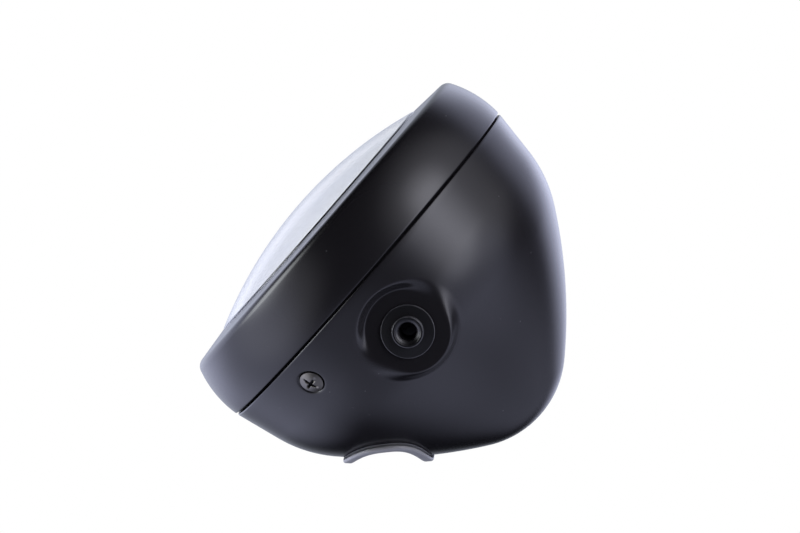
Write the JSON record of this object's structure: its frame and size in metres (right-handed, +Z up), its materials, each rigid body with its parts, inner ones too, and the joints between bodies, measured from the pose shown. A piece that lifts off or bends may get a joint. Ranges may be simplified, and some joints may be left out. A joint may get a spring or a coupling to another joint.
{
  "type": "round motorcycle headlight",
  "caption": "Round motorcycle headlight: satin black pressed bowl and deep rim, domed glass lens, threaded side mounting bushes and a trimmed wiring opening below.",
  "frame": {"origin": "on the optical axis, midway between the two side mounting bushes", "axes": "-Y is the way the lens faces, +X is the lamp's left side along the bush axis, +Z is up as fitted"},
  "size_m": [0.18, 0.145, 0.18],
  "materials": {
    "black_paint": "satin black powder coat",
    "bush_steel": "turned steel, satin black",
    "screw_steel": "blackened steel, worn dull",
    "lens_glass": "clear pressed glass",
    "reflector_mirror": "vacuum-coated mirror",
    "trim_rubber": "grey rubber edge trim",
    "black_rubber": "black moulded rubber",
    "zinc_steel": "zinc-plated steel",
    "spring_steel": "bright spring wire",
    "bulb_metal": "plated bulb base",
    "bulb_glass": "clear bulb glass",
    "filament_metal": "bare tungsten",
    "bulb_ceramic": "moulded base insert",
    "terminal_brass": "bare brass blades"
  },
  "bodies": {
    "root": {"shell": "black_paint", "bezel": "black_paint", "side_bush_left": "bush_steel", "side_bush_right": "bush_steel", "lens": "lens_glass", "lens_seal": "black_rubber", "reflector": "reflector_mirror", "wire_trim": "trim_rubber", "retaining_ring": "zinc_steel", "retaining_studs": "zinc_steel", "retaining_washers": "zinc_steel", "retaining_nuts": "zinc_steel", "rim_bracket_left": "zinc_steel", "rim_bracket_right": "zinc_steel", "top_hook": "zinc_steel", "bracket_rivets": "zinc_steel", "rim_screws": "screw_steel", "rim_screw_nuts": "zinc_steel", "bush_washers": "zinc_steel", "bush_nuts": "zinc_steel", "bulb_collar": "bulb_metal", "bulb_glass": "bulb_glass", "bulb_filaments": "filament_metal", "bulb_shield": "bulb_metal", "bulb_insulator": "bulb_ceramic", "bulb_terminals": "terminal_brass", "bulb_clip": "spring_steel", "bulb_boot": "black_rubber", "pilot_holder": "black_rubber", "pilot_bulb": "bulb_glass"}
  },
  "joints": []
}
